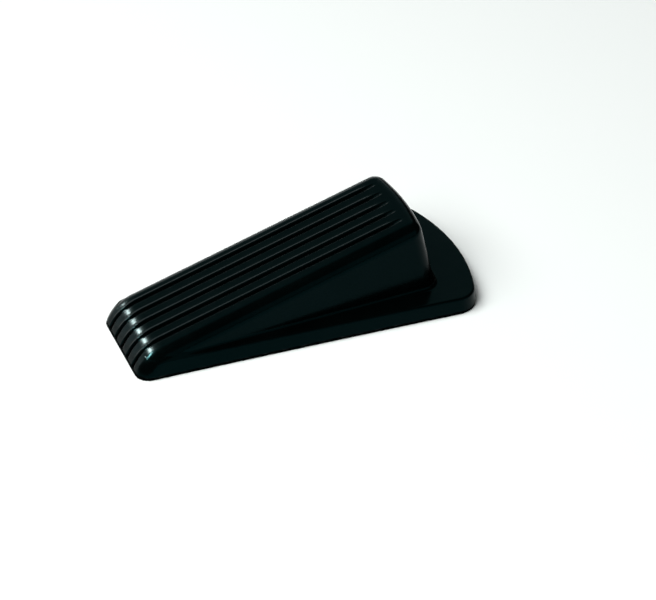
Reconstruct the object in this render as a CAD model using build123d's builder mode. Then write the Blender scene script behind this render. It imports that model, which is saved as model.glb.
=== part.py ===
"""A moulded rubber door wedge: a ribbed ramp on a flared foot, cored out beneath, with a snap-in sole.

Units are millimetres. The origin is the middle of the underside, +X runs from the thin nose to the
heel, +Y across the wedge and +Z up. The sole's tread stands on Z = 0.
"""

import os
from math import cos, radians, sin, tan

from build123d import *

# Overall size
length = 121.0
nose_x = -length / 2
heel_x = length / 2

# Foot: the low plinth that flares towards a rounded heel
foot_top = 6.4
foot_nose_half_width = 18.0
foot_heel_half_width = 28.8
foot_heel_bulge = 6.6
foot_side_bow = 0.3
foot_nose_radius = 3.9
foot_heel_radius = 8.5
foot_nose_lean = 1.2
foot_heel_lean = 0.5
foot_edge_radius = 0.8
hood_radius = 5.0
rim_z = 1.0
rim_edge_radius = 0.3

# Nose and ramp, one smooth line in side view
nose_steepness = 71.5
nose_radius = 14.6
ramp_angle = 14.6

# Tower: the tapering block that stands on the foot and carries the ramp
tower_half_width = 17.35
tower_side_draft = 3.0
tower_back_x = nose_x + 106.6
tower_back_draft = 12.8
tower_back_bulge = 1.8
tower_corner_radius = 5.0
tower_edge_radius = 4.2
tower_root_radius = 1.2
tower_root_steps = 4
tower_loft_top = 38.0
tower_front_margin = 5.0

# Grip grooves along the ramp and down the nose
groove_pitch = 5.25
groove_count = 5
groove_depth = 0.95
groove_floor_half_width = 0.4
groove_flank_angle = 14.0
groove_nose_depth = 2.2
groove_nose_radius = 8.0
groove_end_x = nose_x + 94.8
groove_runout_radius = 30.0
groove_runout_turn = 22.0
groove_reach = 2.0
lip_radius = 0.4
lip_depth = 0.36
lip_lift = 0.03
lip_runout_radius = 60.0

# Cored cells between the webs, closed below by the sole
recess_top = 2.5
roof_thickness = 3.6
wall_thickness = 2.6
cell_pitch_x = 11.2
cell_pitch_y = 9.4
cell_web = 2.0
cell_length = cell_pitch_x - cell_web
cell_width = cell_pitch_y - cell_web
cell_rows = 8
cell_columns = 3
cell_corner_radius = 1.0
first_cell_x = nose_x + 19.0
boss_rows = (1, 4, 7)

# Sole: an edge strip under the rim, a tongue in the recess, snap studs and locating pegs
sole_inset = 0.2
tongue_inset = 4.0
tongue_nose_inset = 7.0
tongue_gap = 0.1
stud_radius = 2.3
stud_tip_radius = 1.8
stud_height = 5.0
bead_radius = 2.6
bead_height = 3.4
bead_half_length = 0.8
stud_gap = 0.05
peg_radius = 2.0
peg_height = 1.6
peg_x = nose_x + 108.0
peg_spacing = 34.0
tread_depth = 0.8
tread_width = 1.3
tread_pitch = 3.6
tread_margin = 3.2
tread_rows = 31

cutter_reach = 60.0


def foot_plan(height, inset=0.0, nose_inset=0.0, lean=0.0, nose_radius=foot_nose_radius):
    """The foot in plan. The sides have leant in fully where lean is 1."""
    front = nose_x + nose_inset
    back = heel_x - foot_heel_lean * lean - inset
    corner_x = back - foot_heel_bulge
    flare = (foot_heel_half_width - foot_nose_half_width) / (heel_x - foot_heel_bulge - nose_x)
    front_half = foot_nose_half_width + flare * nose_inset - foot_nose_lean * lean - inset
    back_half = foot_heel_half_width - foot_heel_lean * lean - inset
    waist = ((corner_x + front) / 2, (front_half + back_half) / 2 - foot_side_bow)
    with BuildSketch(Plane.XY.offset(height)) as plan:
        with BuildLine():
            Line((front, -front_half), (front, front_half))
            ThreePointArc((front, front_half), waist, (corner_x, back_half))
            ThreePointArc((corner_x, back_half), (back, 0), (corner_x, -back_half))
            ThreePointArc((corner_x, -back_half), (waist[0], -waist[1]), (front, -front_half))
        make_face()
        if nose_radius > 0:
            fillet(plan.vertices().group_by(Axis.X)[0], nose_radius)
        fillet(plan.vertices().group_by(Axis.X)[-1], foot_heel_radius - inset)
    return plan.sketch


def tower_plan(height, inset=0.0):
    """The tower in plan at one height, its walls leaning in by their drafts."""
    above = height - foot_top
    lean = above * tan(radians(tower_side_draft)) + inset
    back = tower_back_x - above * tan(radians(tower_back_draft)) - inset
    front = nose_x - tower_front_margin
    widening = tan(radians(ramp_angle)) * tan(radians(tower_side_draft))
    corner_x = back - tower_back_bulge
    front_half = tower_half_width - tower_front_margin * widening - lean
    back_half = tower_half_width + (corner_x - nose_x) * widening - lean
    with BuildSketch(Plane.XY.offset(height)) as plan:
        with BuildLine():
            Line((corner_x, back_half), (front, front_half))
            Line((front, front_half), (front, -front_half))
            Line((front, -front_half), (corner_x, -back_half))
            ThreePointArc((corner_x, -back_half), (back, 0), (corner_x, back_half))
        make_face()
        fillet(plan.vertices().group_by(Axis.X)[-1], tower_corner_radius - inset)
    return plan.sketch


def root_plans():
    """Plans of the cove where the tower's walls sweep out onto the foot."""
    plans = []
    for step in range(tower_root_steps + 1):
        swing = radians(90 * step / tower_root_steps)
        height = foot_top + tower_root_radius * (1 - cos(swing))
        plans.append(tower_plan(height, tower_root_radius * (sin(swing) - 1)))
    return plans


def side_profile(depth=0.0):
    """Everything under the nose and ramp, or under the line that far beneath their skin."""
    steep = radians(nose_steepness)
    start = (nose_x + depth * sin(steep), -depth * cos(steep))
    with BuildSketch(Plane.XZ) as side:
        with BuildLine():
            bend = JernArc(start, (cos(steep), sin(steep)), nose_radius - depth, ramp_angle - nose_steepness)
            ramp = PolarLine(bend @ 1, length, ramp_angle)
            Polyline(ramp @ 1, ((ramp @ 1).X, -cutter_reach), ((bend @ 0).X, -cutter_reach), bend @ 0)
        make_face()
    return side.sketch


def ramp_z(x, depth=0.0):
    """Height of the ramp at x, or of the line that far beneath it."""
    steep = radians(nose_steepness)
    slope = radians(ramp_angle)
    tangent_x = nose_x + nose_radius * (sin(steep) - sin(slope))
    tangent_z = nose_radius * (cos(slope) - cos(steep))
    return tangent_z + (x - tangent_x) * tan(slope) - depth / cos(slope)


def groove_cutter():
    """One groove: steep and deep at the foot of the nose, shallow on the ramp, fading out at the heel."""
    slope = radians(ramp_angle)
    floor_x = nose_x + groove_nose_depth
    bend_z = ramp_z(floor_x + groove_nose_radius, groove_depth) - groove_nose_radius / cos(slope)
    runout_x = groove_end_x - (2 * groove_runout_radius * groove_depth) ** 0.5
    with BuildLine() as path:
        rise = Line((floor_x, -groove_reach), (floor_x, bend_z))
        bend = JernArc(rise @ 1, rise % 1, groove_nose_radius, ramp_angle - 90)
        floor = Line(bend @ 1, (runout_x, ramp_z(runout_x, groove_depth)))
        JernArc(floor @ 1, floor % 1, groove_runout_radius, groove_runout_turn)
    top = groove_depth + groove_reach
    half_floor = groove_floor_half_width
    half_top = half_floor + top * tan(radians(groove_flank_angle))
    with BuildSketch(Plane((floor_x, 0, -groove_reach), x_dir=(0, 1, 0), z_dir=(0, 0, 1))) as section:
        with BuildLine():
            Polyline((-half_floor, 0), (half_floor, 0), (half_top, top), (-half_top, top), close=True)
        make_face()
    return sweep(section.sketch, path=Plane.XZ * path.line, mode=Mode.PRIVATE)


def lip_cutter():
    """The rounding of both edges of one groove, following the skin."""
    steep = radians(nose_steepness)
    runout_x = groove_end_x - (2 * lip_runout_radius * lip_depth) ** 0.5
    with BuildLine() as path:
        bend = JernArc((nose_x, 0), (cos(steep), sin(steep)), nose_radius, ramp_angle - nose_steepness)
        ramp = Line(bend @ 1, (runout_x, ramp_z(runout_x)))
        JernArc(ramp @ 1, ramp % 1, lip_runout_radius, groove_runout_turn)
    inner = groove_floor_half_width + (groove_depth - lip_depth) * tan(radians(groove_flank_angle))
    outer = inner + lip_radius
    with BuildSketch(Plane((nose_x, 0, 0), x_dir=(0, 1, 0), z_dir=(cos(steep), 0, sin(steep)))) as section:
        with BuildLine():
            RadiusArc((-outer, lip_lift), (-inner, -lip_depth), lip_radius)
            Line((-inner, -lip_depth), (inner, -lip_depth))
            RadiusArc((inner, -lip_depth), (outer, lip_lift), lip_radius)
            Polyline((outer, lip_lift), (outer, groove_reach), (-outer, groove_reach), (-outer, lip_lift))
        make_face()
    return sweep(section.sketch, path=Plane.XZ * path.line, mode=Mode.PRIVATE)


def stud(gap=0.0):
    """A snap stud standing on the origin, or its socket when given a gap."""
    shank = stud_radius + gap
    with BuildSketch(Plane.XZ) as half:
        with BuildLine():
            Polyline(
                (0, 0),
                (shank, 0),
                (shank, bead_height - bead_half_length),
                (bead_radius + gap, bead_height),
                (shank, bead_height + bead_half_length),
                (stud_tip_radius + gap, stud_height + gap),
                (0, stud_height + gap),
                close=True,
            )
        make_face()
    return revolve(half.sketch, axis=Axis.Z, mode=Mode.PRIVATE)


# Wedge body: foot and tower under one ramp

with BuildPart() as tower:
    loft([tower_plan(0), tower_plan(tower_loft_top)], ruled=True)
    extrude(side_profile(), amount=cutter_reach, dir=(0, 1, 0), both=True, mode=Mode.INTERSECT)
    skin = tower.faces().filter_by(lambda face: face.normal_at().Z > 0.5)
    fillet(skin.edges().filter_by(Axis.Y, reverse=True), tower_edge_radius)
    split(bisect_by=Plane.XY.offset(rim_z), keep=Keep.TOP)

with BuildPart() as hood:
    extrude(foot_plan(0, nose_radius=0), amount=cutter_reach)
    extrude(side_profile(), amount=cutter_reach, dir=(0, 1, 0), both=True, mode=Mode.INTERSECT)
    skin = hood.faces().filter_by(lambda face: face.normal_at().Z > 0.5)
    fillet(skin.edges().filter_by(Axis.Y, reverse=True), hood_radius)

with BuildPart() as foot:
    loft([foot_plan(rim_z), foot_plan(foot_top, lean=1)], ruled=True)
    fillet(foot.edges().group_by(Axis.Z)[-1], foot_edge_radius)
    fillet(foot.edges().group_by(Axis.Z)[0], rim_edge_radius)
    loft(root_plans())
    add(hood.part, mode=Mode.INTERSECT)

# Cells under the roof of the tower, with solid bosses where the sole's studs go

with BuildPart() as cells:
    with BuildSketch(Plane.XY.offset(recess_top)):
        for row in range(cell_rows):
            for column in range(cell_columns):
                if row not in boss_rows or column != cell_columns // 2:
                    cell_y = (column - (cell_columns - 1) / 2) * cell_pitch_y
                    with Locations((first_cell_x + row * cell_pitch_x, cell_y)):
                        RectangleRounded(cell_length, cell_width, cell_corner_radius)
    extrude(amount=tower_loft_top)
    loft(
        [tower_plan(0, wall_thickness), tower_plan(tower_loft_top, wall_thickness)],
        ruled=True,
        mode=Mode.INTERSECT,
    )
    extrude(side_profile(roof_thickness), amount=cutter_reach, dir=(0, 1, 0), both=True, mode=Mode.INTERSECT)

stud_spots = [(first_cell_x + row * cell_pitch_x, 0, recess_top) for row in boss_rows]

with BuildPart() as wedge_body:
    add(foot.part)
    add(tower.part)
    with GridLocations(0, groove_pitch, 1, groove_count):
        add(groove_cutter(), mode=Mode.SUBTRACT)
        add(lip_cutter(), mode=Mode.SUBTRACT)
    recess_gap = tongue_inset - tongue_gap
    extrude(
        foot_plan(rim_z, recess_gap, tongue_nose_inset - tongue_gap),
        amount=recess_top - rim_z,
        mode=Mode.SUBTRACT,
    )
    add(cells.part, mode=Mode.SUBTRACT)
    with Locations(*stud_spots):
        add(stud(stud_gap), mode=Mode.SUBTRACT)
    with Locations((peg_x, 0, recess_top)):
        with GridLocations(0, peg_spacing, 1, 2):
            Cylinder(
                peg_radius + stud_gap,
                peg_height + stud_gap,
                align=(Align.CENTER, Align.CENTER, Align.MIN),
                mode=Mode.SUBTRACT,
            )

# Grip sole: treaded below, keyed into the body above

with BuildPart() as grip_sole:
    extrude(foot_plan(0, sole_inset), amount=rim_z)
    extrude(foot_plan(rim_z, tongue_inset, tongue_nose_inset), amount=recess_top - rim_z)
    add(hood.part, mode=Mode.INTERSECT)
    with Locations(*stud_spots):
        add(stud())
    with Locations((peg_x, 0, recess_top)):
        with GridLocations(0, peg_spacing, 1, 2):
            Cylinder(peg_radius, peg_height, align=(Align.CENTER, Align.CENTER, Align.MIN))
    with BuildSketch() as tread:
        with GridLocations(tread_pitch, 0, tread_rows, 1):
            Rectangle(tread_width, cutter_reach)
        add(foot_plan(0, tread_margin, tread_margin), mode=Mode.INTERSECT)
    extrude(tread.sketch, amount=tread_depth, mode=Mode.SUBTRACT)

os.makedirs("parts", exist_ok=True)

wedge_body.part.label = "wedge_body"
grip_sole.part.label = "grip_sole"
export_step(wedge_body.part, "parts/wedge_body.step")
export_step(grip_sole.part, "parts/grip_sole.step")
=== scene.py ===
"""The visual model of the rubber door wedge, in metres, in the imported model's own frame."""

from math import atan, cos, radians, sin, tan

import bpy
import numpy as np
from mathutils import Matrix, Vector


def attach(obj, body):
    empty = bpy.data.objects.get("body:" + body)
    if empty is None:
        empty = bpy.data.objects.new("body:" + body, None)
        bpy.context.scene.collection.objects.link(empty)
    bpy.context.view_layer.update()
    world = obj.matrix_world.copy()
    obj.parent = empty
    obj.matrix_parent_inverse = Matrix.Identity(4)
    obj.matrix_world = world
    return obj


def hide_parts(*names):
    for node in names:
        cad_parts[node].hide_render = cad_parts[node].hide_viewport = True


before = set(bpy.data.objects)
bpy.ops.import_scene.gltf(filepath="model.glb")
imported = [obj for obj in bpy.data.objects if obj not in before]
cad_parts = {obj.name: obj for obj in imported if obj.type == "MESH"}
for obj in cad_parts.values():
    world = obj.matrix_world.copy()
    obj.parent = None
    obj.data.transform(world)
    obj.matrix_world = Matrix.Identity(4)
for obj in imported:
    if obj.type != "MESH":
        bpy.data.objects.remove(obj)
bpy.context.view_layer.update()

scene = bpy.context.scene

# Shape. Lengths are in millimetres and become metres when a mesh is made. A name ending in CORNER is the
# cosine between the normals of the two faces that meet there.

MM = 0.001
NOSE_X = -60.5
HEEL_X = 60.5
RIM_Z = 1.0

FOOT_TOP = 6.4
FOOT_NOSE_HALF = 18.0
FOOT_HEEL_HALF = 28.8
FOOT_BULGE = 6.6
FOOT_BOW = 0.3
FOOT_NOSE_LEAN = 1.2
FOOT_HEEL_LEAN = 0.5
FOOT_NOSE_R = 3.9
FOOT_HEEL_R = 8.5
FOOT_HEEL_CORNER = 0.36
FOOT_NOSE_CORNER = 0.09
FOOT_EDGE_R = 0.8
HOOD_R = 5.0
RIM_R = 0.3

STEEP = radians(71.5)
SLOPE = radians(14.6)
NOSE_R = 14.6
BEND_X = NOSE_X + NOSE_R * sin(STEEP)
BEND_Z = -NOSE_R * cos(STEEP)

TOWER_HALF = 17.35
TOWER_DRAFT = radians(3.0)
TOWER_WIDENING = tan(SLOPE) * tan(TOWER_DRAFT)
TOWER_BACK_X = NOSE_X + 106.6
TOWER_BACK_DRAFT = radians(12.8)
TOWER_BACK_R = 85.0
TOWER_CORNER = 0.21
TOWER_CORNER_R = 5.0
TOWER_EDGE_R = 4.2
TOWER_ROOT_R = 1.2
TOWER_ROOT_SHARP_R = 0.02
TOWER_ROOT_FADE = (0.6, 3.0)

GROOVE_PITCH = 5.25
GROOVES_EACH_SIDE = 2
GROOVE_DEPTH = 0.95
GROOVE_X = NOSE_X + 2.2
GROOVE_BEND = 8.0
GROOVE_FLOOR_HALF = 0.4
GROOVE_FLANK = radians(14.0)
GROOVE_FLOOR_R = 0.12
GROOVE_LIP_R = 0.45
GROOVE_LIP_CORNER = 0.2
GROOVE_END_X = NOSE_X + 94.8
LIP_HEIGHT = 0.25
LIP_RISE = (0.2, 0.75)
LIP_FALL = (0.45, 1.85)
LIP_NOSE_FADE = (2.0, 6.0)
LIP_END_FADE = 6.0
RUNOUT_R = 30.0

SOLE_INSET = 0.2
TREAD_PITCH = 3.6
TREAD_HALF = 0.65
TREAD_DEPTH = 0.8
TREAD_MARGIN = 3.2
TREAD_END = 55.8
TREAD_EACH_SIDE = 15
SKIN_INSET = 0.06
FLOOR_GAP = 0.01

# Meshing. A stretch is (start, end, spacing). The grid is closer where the form turns tightly.

BODY_X = (
    (-60.9, -46.0, 0.34),
    (-46.0, 31.0, 1.3),
    (31.0, 38.0, 0.6),
    (38.0, 50.0, 0.45),
    (50.0, 61.0, 0.55),
)
BODY_Z = ((0.85, 8.0, 0.34), (8.0, 33.0, 0.42))
NEAR_GROOVE = (0.0, 0.11, 0.22, 0.34, 0.48, 0.64, 0.84, 1.12, 1.5, 2.0)
BODY_OUTER_Y = ((GROOVE_PITCH * 2.5, 18.4, 0.45), (18.4, 30.0, 0.6))
SOLE_MIDDLE_Y = (-12.0, 12.0, 3.0)
SOLE_EDGE_Y = (14.0, 29.0, 0.55)
SOLE_NOSE_X = (-61.0, -55.2, 0.35)
SOLE_HEEL_X = (56.2, 61.0, 0.35)
SOLE_Z = (-0.04, 0.06, 0.4, 0.75, 0.85, 0.95, 1.05)
NEAR_BAR = (-0.75, -0.55, 0.0, 0.55, 0.75, TREAD_PITCH / 2)
PROBE_STEP = 0.004
PROJECT_PASSES = 4
LEAST_SLOPE = 0.3
ROW_WIDTH = 0.03
ROW_PASSES = 4


def rounded(a, b, radius, lean=0.0):
    """The solid inside both a and b, its edge rounded. lean is the cosine between their normals."""
    p = a + radius
    q = b + radius
    corner = np.sqrt(np.maximum(p * p + q * q - 2 * lean * p * q, 0.0) / (1 - lean * lean)) - radius
    return np.where((p > lean * q) & (q > lean * p), corner, np.maximum(a, b))


def blended(a, b, radius):
    """The solid inside a or b, with a cove of that radius where they meet."""
    p = np.maximum(radius - a, 0.0)
    q = np.maximum(radius - b, 0.0)
    return np.where((p > 0) & (q > 0), radius - np.hypot(p, q), np.minimum(a, b))


def eased(value, low, high):
    """0 at low and 1 at high, smooth between."""
    t = np.clip((value - low) / (high - low), 0.0, 1.0)
    return t * t * (3 - 2 * t)


def above_skin(x, z):
    """Height above the nose and ramp, square to them, and the distance along the ramp from the bend."""
    dx = x - BEND_X
    dz = z - BEND_Z
    along = dx * cos(SLOPE) + dz * sin(SLOPE)
    over = dz * cos(SLOPE) - dx * sin(SLOPE)
    return np.where(along > 0, over, np.hypot(dx, dz)) - NOSE_R, along


def above_groove_floor(x, z):
    """Height above a groove's floor: upright in the nose, level with the ramp, then rising out of it."""
    bend_x = GROOVE_X + GROOVE_BEND
    over_bend = NOSE_R - GROOVE_DEPTH - GROOVE_BEND
    bend_z = BEND_Z + (over_bend + (bend_x - BEND_X) * sin(SLOPE)) / cos(SLOPE)
    dx = x - bend_x
    dz = z - bend_z
    along = dx * cos(SLOPE) + dz * sin(SLOPE)
    over = dz * cos(SLOPE) - dx * sin(SLOPE)
    upright = np.where(dz > 0, np.hypot(dx, dz), -dx)
    floor = np.where(along > 0, over, upright) - GROOVE_BEND
    end_along = (GROOVE_END_X - bend_x) / cos(SLOPE) + GROOVE_BEND * tan(SLOPE)
    out_along = end_along - (2 * RUNOUT_R * GROOVE_DEPTH) ** 0.5
    rising = RUNOUT_R - np.hypot(along - out_along, RUNOUT_R + GROOVE_BEND - over)
    return np.where(along > out_along, np.minimum(floor, rising), floor)


def groove_field(x, y, z):
    """The space in the grooves."""
    track = np.clip(np.round(y / GROOVE_PITCH), -GROOVES_EACH_SIDE, GROOVES_EACH_SIDE)
    off = np.abs(y - track * GROOVE_PITCH)
    height = above_groove_floor(x, z)
    half = GROOVE_FLOOR_HALF + height * tan(GROOVE_FLANK)
    return rounded((off - half) * cos(GROOVE_FLANK), -height, GROOVE_FLOOR_R)


def lip_rise(x, y, z):
    """How far the skin rises along the +Y side of each groove, falling away from it again."""
    track = np.clip(np.round(y / GROOVE_PITCH), -GROOVES_EACH_SIDE, GROOVES_EACH_SIDE)
    off = y - track * GROOVE_PITCH
    across = eased(off, *LIP_RISE) * (1 - eased(off, *LIP_FALL))
    along = eased(z, *LIP_NOSE_FADE) * (1 - eased(x, GROOVE_END_X - LIP_END_FADE, GROOVE_END_X))
    return LIP_HEIGHT * across * along


def foot_side(x, y, lean):
    """Distance outside the foot's flaring, slightly bowed sides."""
    corner_x = HEEL_X - FOOT_HEEL_LEAN * lean - FOOT_BULGE
    share = (x - NOSE_X) / (corner_x - NOSE_X)
    nose_half = FOOT_NOSE_HALF - FOOT_NOSE_LEAN * lean
    heel_half = FOOT_HEEL_HALF - FOOT_HEEL_LEAN * lean
    half = nose_half + (heel_half - nose_half) * share - 4 * FOOT_BOW * share * (1 - share)
    return (np.abs(y) - half) * cos(atan((FOOT_HEEL_HALF - FOOT_NOSE_HALF) / (HEEL_X - NOSE_X)))


def foot_outline(x, y, lean):
    """Distance outside the foot in plan."""
    back_x = HEEL_X - FOOT_HEEL_LEAN * lean
    heel_half = FOOT_HEEL_HALF - FOOT_HEEL_LEAN * lean
    heel_r = (heel_half**2 + FOOT_BULGE**2) / (2 * FOOT_BULGE)
    heel = np.hypot(x - back_x + heel_r, y) - heel_r
    side = foot_side(x, y, lean)
    outline = rounded(side, heel, FOOT_HEEL_R, FOOT_HEEL_CORNER)
    return rounded(outline, NOSE_X - x, FOOT_NOSE_R, FOOT_NOSE_CORNER)


def body_field(x, y, z):
    """The moulded body: negative inside, zero on its skin."""
    skin, _ = above_skin(x, z)
    above_foot = z - FOOT_TOP
    half = TOWER_HALF + (x - NOSE_X) * TOWER_WIDENING - above_foot * tan(TOWER_DRAFT)
    wall = (np.abs(y) - half) * cos(TOWER_DRAFT)
    back_x = TOWER_BACK_X - above_foot * tan(TOWER_BACK_DRAFT)
    back = (np.hypot(x - back_x + TOWER_BACK_R, y) - TOWER_BACK_R) * cos(TOWER_BACK_DRAFT)
    walls = rounded(wall, back, TOWER_CORNER_R, TOWER_CORNER)
    tower = rounded(walls, skin - lip_rise(x, y, z), TOWER_EDGE_R)
    lean = (z - RIM_Z) / (FOOT_TOP - RIM_Z)
    foot = rounded(foot_outline(x, y, lean), above_foot, FOOT_EDGE_R)
    foot = np.maximum(foot, rounded(foot_side(x, y, 0.0), skin, HOOD_R))
    root = TOWER_ROOT_SHARP_R + (TOWER_ROOT_R - TOWER_ROOT_SHARP_R) * eased(-skin, *TOWER_ROOT_FADE)
    solid = blended(tower, foot, root)
    solid = rounded(solid, -groove_field(x, y, z), GROOVE_LIP_R, GROOVE_LIP_CORNER)
    return rounded(solid, RIM_Z - z, RIM_R) + SKIN_INSET


def sole_field(x, y, z):
    """The sole below the body: a flat strip with bars cut across its underside."""
    skin, _ = above_skin(x, z)
    outline = foot_outline(x, y, 0.0)
    plate = np.maximum(outline + SOLE_INSET + SKIN_INSET, z - RIM_Z)
    plate = np.maximum(plate, rounded(foot_side(x, y, 0.0), skin, HOOD_R) + SKIN_INSET)
    plate = np.maximum(plate, FLOOR_GAP - z)
    track = np.clip(np.round(x / TREAD_PITCH), -TREAD_EACH_SIDE, TREAD_EACH_SIDE)
    bar = np.maximum(np.abs(x - track * TREAD_PITCH) - TREAD_HALF, z - TREAD_DEPTH)
    bar = np.maximum(bar, np.maximum(outline + TREAD_MARGIN, np.abs(x) - TREAD_END))
    return np.maximum(plate, -bar)


def net(field, xs, ys, zs):
    """A closed mesh of the field's zero surface: points, quads and outward normals."""
    shape = (len(xs), len(ys), len(zs))
    values = np.empty(shape, np.float32)
    for i, x in enumerate(xs):
        values[i] = field(x, ys[:, None], zs[None, :])
    inside = values < 0
    count = np.zeros([n - 1 for n in shape], np.int8)
    for di in (0, 1):
        for dj in (0, 1):
            for dk in (0, 1):
                count += inside[di : shape[0] - 1 + di, dj : shape[1] - 1 + dj, dk : shape[2] - 1 + dk]
    i, j, k = np.nonzero((count > 0) & (count < 8))
    index = np.full([n - 1 for n in shape], -1, np.int64)
    index[i, j, k] = np.arange(len(i))
    total = np.zeros((len(i), 3))
    hits = np.zeros(len(i))
    lines = (xs, ys, zs)
    base = np.stack([i, j, k], 1)
    for axis in range(3):
        others = [n for n in range(3) if n != axis]
        for first in (0, 1):
            for second in (0, 1):
                low = base.copy()
                low[:, others[0]] += first
                low[:, others[1]] += second
                high = low.copy()
                high[:, axis] += 1
                a = values[low[:, 0], low[:, 1], low[:, 2]]
                b = values[high[:, 0], high[:, 1], high[:, 2]]
                cross = (a < 0) != (b < 0)
                share = np.where(cross, a / np.where(cross, a - b, 1.0), 0.0)
                point = np.stack([lines[n][low[:, n]] for n in range(3)], 1)
                reach = lines[axis][high[:, axis]] - lines[axis][low[:, axis]]
                point[:, axis] += share * reach
                total += np.where(cross[:, None], point, 0.0)
                hits += cross
    points = total / hits[:, None]
    quads = []
    for axis in range(3):
        one, two = (axis + 1) % 3, (axis + 2) % 3
        near = [slice(None)] * 3
        far = [slice(None)] * 3
        near[axis] = slice(0, shape[axis] - 1)
        far[axis] = slice(1, shape[axis])
        start, end = inside[tuple(near)], inside[tuple(far)]
        where = np.stack(np.nonzero(start != end), 1)
        ok = np.ones(len(where), bool)
        for n in (one, two):
            ok &= (where[:, n] > 0) & (where[:, n] < shape[n] - 1)
        where = where[ok]
        corners = []
        for back_one, back_two in ((1, 1), (0, 1), (0, 0), (1, 0)):
            cell = where.copy()
            cell[:, one] -= back_one
            cell[:, two] -= back_two
            corners.append(index[cell[:, 0], cell[:, 1], cell[:, 2]])
        quad = np.stack(corners, 1)
        leaving = start[where[:, 0], where[:, 1], where[:, 2]]
        quad[~leaving] = quad[~leaving][:, ::-1]
        quads.append(quad)
    faces = np.concatenate(quads)
    even_rows(points, faces)
    for _ in range(PROJECT_PASSES):
        value, slope = probe(field, points)
        points -= slope * (value / np.maximum((slope**2).sum(1), LEAST_SLOPE))[:, None]
    _, slope = probe(field, points)
    normals = slope / np.linalg.norm(slope, axis=1)[:, None]
    return points, faces, normals


def even_rows(points, faces):
    """Even out the points along each lengthwise row, in place, so that they leave fewer slivers."""
    one = faces.ravel()
    two = np.roll(faces, -1, 1).ravel()
    level = np.abs(points[one, 1] - points[two, 1]) < ROW_WIDTH
    one, two = one[level], two[level]
    ties = np.bincount(one, minlength=len(points))
    for _ in range(ROW_PASSES):
        for axis in (0, 2):
            total = np.bincount(one, points[two, axis], len(points))
            mean = np.where(ties > 1, total / np.maximum(ties, 1), points[:, axis])
            points[:, axis] += (mean - points[:, axis]) / 2


def probe(field, points):
    """The field and its slope at points."""
    x, y, z = points.T
    slope = np.empty_like(points)
    slope[:, 0] = field(x + PROBE_STEP, y, z) - field(x - PROBE_STEP, y, z)
    slope[:, 1] = field(x, y + PROBE_STEP, z) - field(x, y - PROBE_STEP, z)
    slope[:, 2] = field(x, y, z + PROBE_STEP) - field(x, y, z - PROBE_STEP)
    return field(x, y, z), slope / (2 * PROBE_STEP)


def make_piece(name, points, faces, normals, node, slot, material, smooth):
    """A mesh object that stands for a CAD node, shaded smooth by its normals or with flat faces."""
    mesh = bpy.data.meshes.new(name)
    mesh.from_pydata((points * MM).tolist(), [], faces.tolist())
    mesh.polygons.foreach_set("use_smooth", np.full(len(faces), smooth))
    if smooth:
        mesh.normals_split_custom_set_from_vertices(normals.tolist())
    mesh.materials.append(material)
    piece = bpy.data.objects.new(name, mesh)
    scene.collection.objects.link(piece)
    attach(piece, "root")
    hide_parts(node)


def stretches(*parts):
    """Grid lines over joined stretches."""
    lines = []
    for start, end, spacing in parts:
        count = max(1, round((end - start) / spacing))
        lines.extend(start + (end - start) * np.arange(count) / count)
    lines.append(parts[-1][1])
    return np.array(lines)


def groove_lines():
    """Grid lines across the wedge, close together at each groove and at the edges of the tower."""
    near = np.array(NEAR_GROOVE)
    outer = stretches(*BODY_OUTER_Y)
    half = [near]
    for track in range(1, GROOVES_EACH_SIDE + 1):
        centre = track * GROOVE_PITCH
        half.append(centre - near[:0:-1])
        half.append([centre - GROOVE_PITCH / 2])
        half.append(centre + near)
    half = np.unique(np.round(np.concatenate([*half, outer]), 4))
    return np.concatenate([-half[:0:-1], half])


# Materials. Noise scales are in cycles per metre.

CLOUD_SCALE = 90.0
PATCH_SCALE = 240.0
GRAIN_SCALE = 2600.0
NOISE_LOW = 0.35
NOISE_HIGH = 0.65


def new_material(name):
    """An empty node material with its shader and output."""
    material = bpy.data.materials.new(name)
    material.use_nodes = True
    tree = material.node_tree
    tree.nodes.clear()
    out = tree.nodes.new("ShaderNodeOutputMaterial")
    shader = tree.nodes.new("ShaderNodeBsdfPrincipled")
    tree.links.new(shader.outputs["BSDF"], out.inputs["Surface"])
    return material, tree, shader


def noise(tree, coords, scale, detail=3.0, roughness=0.55):
    """Noise in object coordinates."""
    node = tree.nodes.new("ShaderNodeTexNoise")
    node.inputs["Scale"].default_value = scale
    node.inputs["Detail"].default_value = detail
    node.inputs["Roughness"].default_value = roughness
    tree.links.new(coords, node.inputs["Vector"])
    return node.outputs["Fac"]


def span(tree, value, to_low, to_high):
    """A noise value, mapped to to_low..to_high and clamped."""
    node = tree.nodes.new("ShaderNodeMapRange")
    node.inputs["From Min"].default_value = NOISE_LOW
    node.inputs["From Max"].default_value = NOISE_HIGH
    node.inputs["To Min"].default_value = to_low
    node.inputs["To Max"].default_value = to_high
    tree.links.new(value, node.inputs["Value"])
    return node.outputs["Result"]


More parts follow.
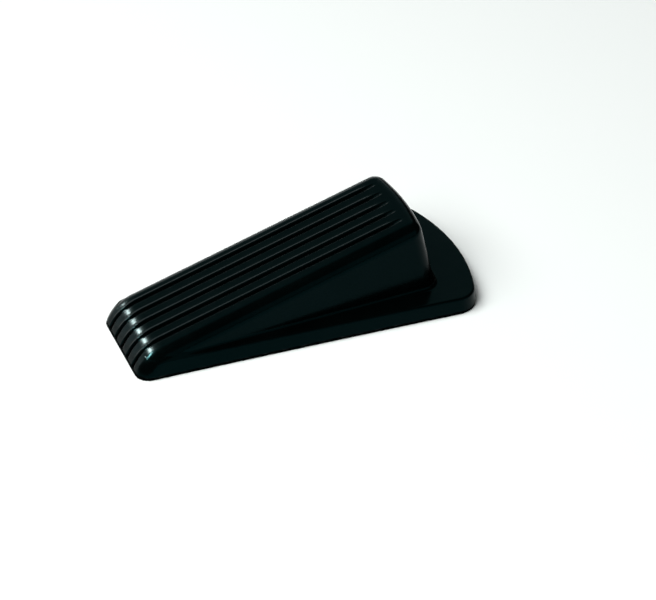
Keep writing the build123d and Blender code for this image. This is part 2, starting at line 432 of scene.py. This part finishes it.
def rubber(name, dark, light, rough_low, rough_high, specular, tint, grain_height):
    """Black moulded rubber: faint clouding, patchy gloss and a fine moulded grain."""
    material, tree, shader = new_material(name)
    coords = tree.nodes.new("ShaderNodeTexCoord").outputs["Object"]
    clouds = noise(tree, coords, CLOUD_SCALE)
    blend = tree.nodes.new("ShaderNodeMix")
    blend.data_type = "RGBA"
    blend.inputs["A"].default_value = (*dark, 1.0)
    blend.inputs["B"].default_value = (*light, 1.0)
    tree.links.new(span(tree, clouds, 0.0, 1.0), blend.inputs["Factor"])
    tree.links.new(blend.outputs["Result"], shader.inputs["Base Color"])
    patches = noise(tree, coords, PATCH_SCALE)
    tree.links.new(span(tree, patches, rough_low, rough_high), shader.inputs["Roughness"])
    shader.inputs["Specular IOR Level"].default_value = specular
    shader.inputs["Specular Tint"].default_value = (*tint, 1.0)
    grain = noise(tree, coords, GRAIN_SCALE, 4.0, 0.6)
    bump = tree.nodes.new("ShaderNodeBump")
    bump.inputs["Strength"].default_value = 1.0
    bump.inputs["Distance"].default_value = grain_height
    tree.links.new(grain, bump.inputs["Height"])
    tree.links.new(bump.outputs["Normal"], shader.inputs["Normal"])
    return material


body_rubber = rubber(
    "body_rubber",
    dark=(0.0002, 0.0005, 0.0005),
    light=(0.0004, 0.0009, 0.0009),
    rough_low=0.17,
    rough_high=0.22,
    specular=0.05,
    tint=(0.08, 0.9, 1.0),
    grain_height=0.000002,
)
sole_rubber = rubber(
    "sole_rubber",
    dark=(0.0002, 0.0004, 0.0004),
    light=(0.0004, 0.0008, 0.0008),
    rough_low=0.45,
    rough_high=0.55,
    specular=0.004,
    tint=(0.3, 0.9, 0.9),
    grain_height=0.000006,
)

# Pieces

make_piece(
    "ribbed_wedge_body",
    *net(body_field, stretches(*BODY_X), groove_lines(), stretches(*BODY_Z)),
    node="wedge_body",
    slot="body_rubber",
    material=body_rubber,
    smooth=True,
)

sole_edge = stretches(SOLE_EDGE_Y)
sole_y = np.concatenate([-sole_edge[::-1], stretches(SOLE_MIDDLE_Y), sole_edge])
bars = TREAD_PITCH * np.arange(-TREAD_EACH_SIDE, TREAD_EACH_SIDE + 1)
bars_x = (bars[:, None] + np.array(NEAR_BAR)).ravel()
sole_x = np.concatenate([stretches(SOLE_NOSE_X), bars_x, stretches(SOLE_HEEL_X)])
make_piece(
    "treaded_grip_sole",
    *net(sole_field, sole_x, sole_y, np.array(SOLE_Z)),
    node="grip_sole",
    slot="sole_rubber",
    material=sole_rubber,
    smooth=False,
)

# Floor, world and lights

FLOOR_REACH = 4.0
FLOOR_ALBEDO = 0.82
WORLD_STRENGTH = 0.02
COOL = (0.55, 1.0, 1.0)
WARM = (1.0, 0.72, 0.68)

floor_mesh = bpy.data.meshes.new("floor")
floor_corners = [(x * FLOOR_REACH, y * FLOOR_REACH, 0) for x, y in ((-1, -1), (1, -1), (1, 1), (-1, 1))]
floor_mesh.from_pydata(floor_corners, [], [(0, 1, 2, 3)])
floor = bpy.data.objects.new("floor", floor_mesh)
scene.collection.objects.link(floor)
floor_material, _, floor_shader = new_material("floor_white")
floor_shader.inputs["Base Color"].default_value = (FLOOR_ALBEDO, FLOOR_ALBEDO, FLOOR_ALBEDO, 1.0)
floor_shader.inputs["Roughness"].default_value = 0.9
floor_shader.inputs["Specular IOR Level"].default_value = 0.1
floor_mesh.materials.append(floor_material)

world = bpy.data.worlds.new("studio")
scene.world = world
world.use_nodes = True
world.node_tree.nodes["Background"].inputs["Color"].default_value = (1.0, 1.0, 1.0, 1.0)
world.node_tree.nodes["Background"].inputs["Strength"].default_value = WORLD_STRENGTH


def softbox(name, direction, distance, width, height, power, tint=(1.0, 1.0, 1.0)):
    """An area light in that direction, facing the wedge."""
    light = bpy.data.lights.new(name, "AREA")
    light.shape = "RECTANGLE"
    light.size = width
    light.size_y = height
    light.energy = power
    light.color = tint
    lamp = bpy.data.objects.new(name, light)
    scene.collection.objects.link(lamp)
    way = Vector(direction).normalized()
    lamp.location = way * distance
    lamp.rotation_mode = "QUATERNION"
    lamp.rotation_quaternion = way.to_track_quat("Z", "Y")
    return lamp


sheens = (
    softbox("backdrop", (0.05, 0.76, 0.64), 2.4, 3.6, 1.8, 10.5, COOL),
    softbox("upper_back", (0.05, 0.42, 0.91), 2.4, 2.4, 0.9, 3.4, COOL),
    softbox("front", (0.35, -0.86, 0.37), 2.2, 2.4, 1.3, 6.5, (0.7, 1.0, 1.0)),
    softbox("horizon", (-0.15, 0.97, 0.20), 2.6, 5.0, 1.1, 38.0),
    softbox("key_back_left", (-0.50, 0.71, 0.50), 1.6, 0.17, 0.13, 34.0, WARM),
    softbox("key_left", (-0.65, 0.40, 0.62), 1.6, 0.55, 0.18, 110.0, WARM),
)
for sheen in sheens:
    sheen.visible_diffuse = False
floor_light = softbox("floor_light", (-0.55, -0.10, 0.83), 1.6, 1.5, 1.3, 50.0, (0.95, 1.0, 0.98))
floor_light.visible_glossy = False

# Camera

CAMERA_AT = (-0.20811, -0.49885, 0.43853)

azimuth = radians(-23.9)
elevation = radians(38.976)
back = Vector((sin(azimuth) * cos(elevation), -cos(azimuth) * cos(elevation), sin(elevation)))
right = Vector((cos(azimuth), sin(azimuth), 0))
up = back.cross(right)
camera_data = bpy.data.cameras.new("camera")
camera_data.sensor_width = 36.0
camera_data.lens = 115.2
camera_data.clip_start = 0.01
camera_data.clip_end = 20.0
camera = bpy.data.objects.new("camera", camera_data)
scene.collection.objects.link(camera)
turn = Matrix((right, up, back)).transposed().to_4x4()
camera.matrix_world = Matrix.Translation(CAMERA_AT) @ turn
scene.camera = camera

scene.view_settings.view_transform = "Standard"
